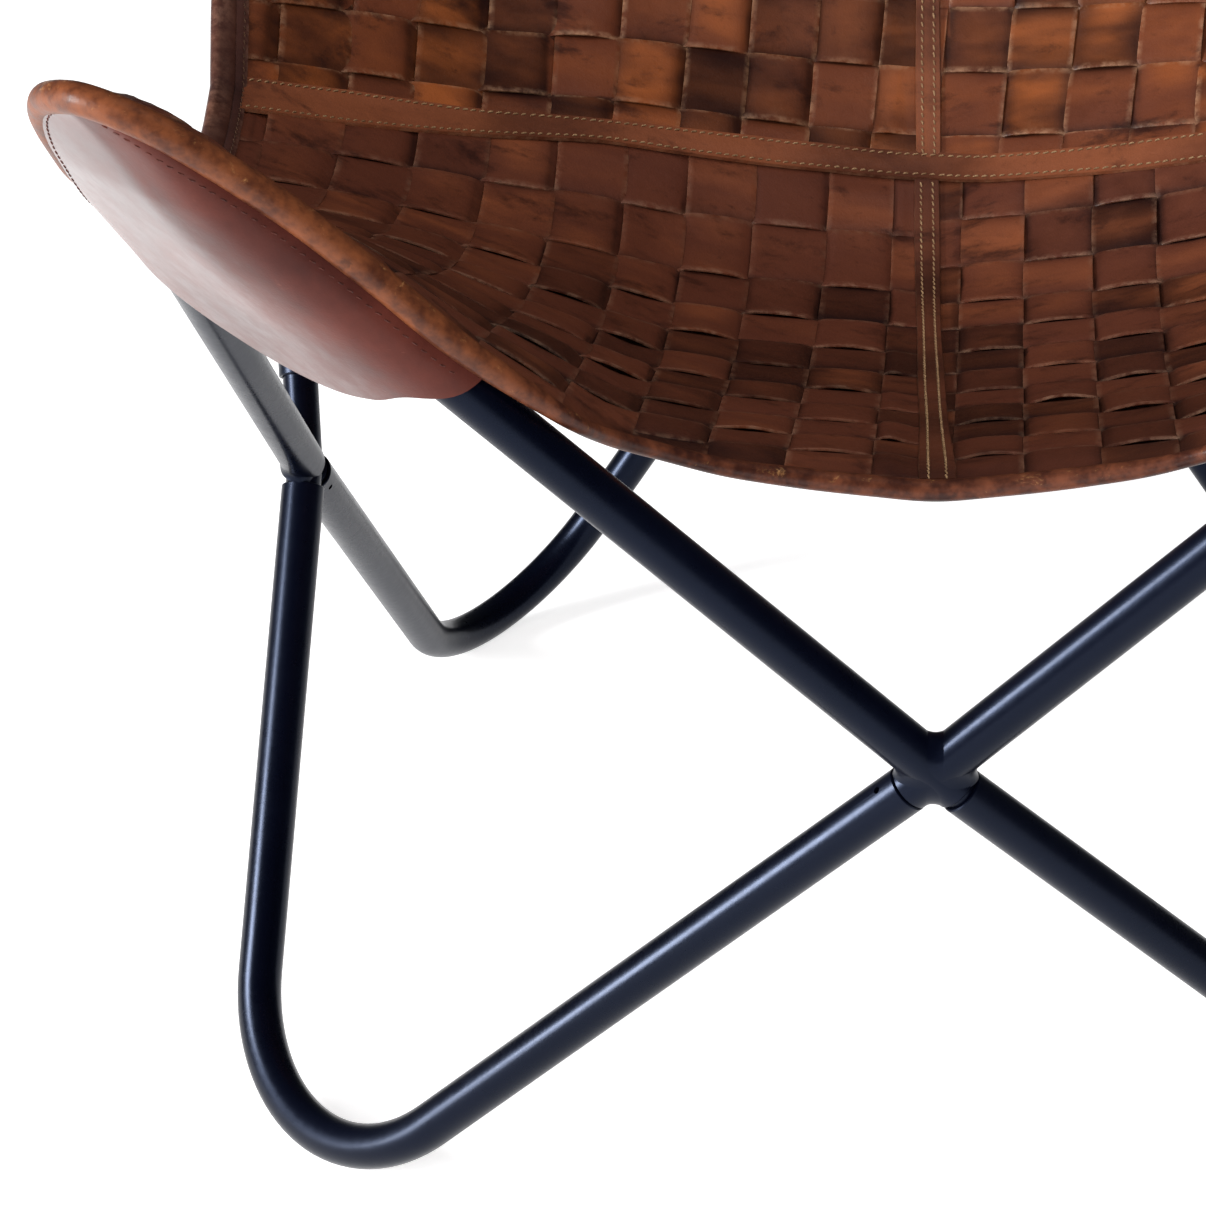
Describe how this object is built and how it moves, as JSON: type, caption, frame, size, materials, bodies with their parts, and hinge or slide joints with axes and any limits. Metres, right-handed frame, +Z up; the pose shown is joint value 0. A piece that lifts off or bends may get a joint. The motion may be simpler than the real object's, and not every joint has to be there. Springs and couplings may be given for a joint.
{
  "type": "butterfly sling chair",
  "caption": "Butterfly lounge chair: woven leather sling hung by corner pockets on a knock-down frame of crossing bent steel tubes.",
  "frame": {"origin": "on the floor, under the middle of the bounding box", "axes": "+Z up; the chair faces -Y; +X to the right seen from the front"},
  "size_m": [0.7802, 0.8646, 0.9],
  "materials": {
    "frame_paint": "satin",
    "woven_leather": "waxed, worn",
    "edge_leather": "waxed, worn",
    "tan_edge_leather": "worn",
    "smooth_leather": "polished"
  },
  "bodies": {
    "root": {"knee_tube_left": "frame_paint", "knee_tube_right": "frame_paint", "back_tube_left": "frame_paint", "back_tube_right": "frame_paint", "front_leg_left": "frame_paint", "front_leg_right": "frame_paint", "rear_leg_left": "frame_paint", "rear_leg_right": "frame_paint", "front_spigot_right": "frame_paint", "front_spigot_left": "frame_paint", "rear_spigot_right": "frame_paint", "rear_spigot_left": "frame_paint", "side_upright_spigot_left": "frame_paint", "side_rear_spigot_left": "frame_paint", "side_upright_spigot_right": "frame_paint", "side_rear_spigot_right": "frame_paint", "seat_left_panel": "woven_leather", "seat_right_panel": "woven_leather", "seat_centre_seam": "edge_leather", "back_left_panel": "woven_leather", "back_right_panel": "woven_leather", "back_centre_seam": "edge_leather", "cross_seam": "edge_leather", "front_edge_binding": "tan_edge_leather", "top_edge_binding": "edge_leather", "left_edge_binding": "edge_leather", "right_edge_binding": "edge_leather", "front_left_pocket": "smooth_leather", "top_left_pocket": "smooth_leather", "front_right_pocket": "smooth_leather", "top_right_pocket": "smooth_leather"}
  },
  "joints": []
}
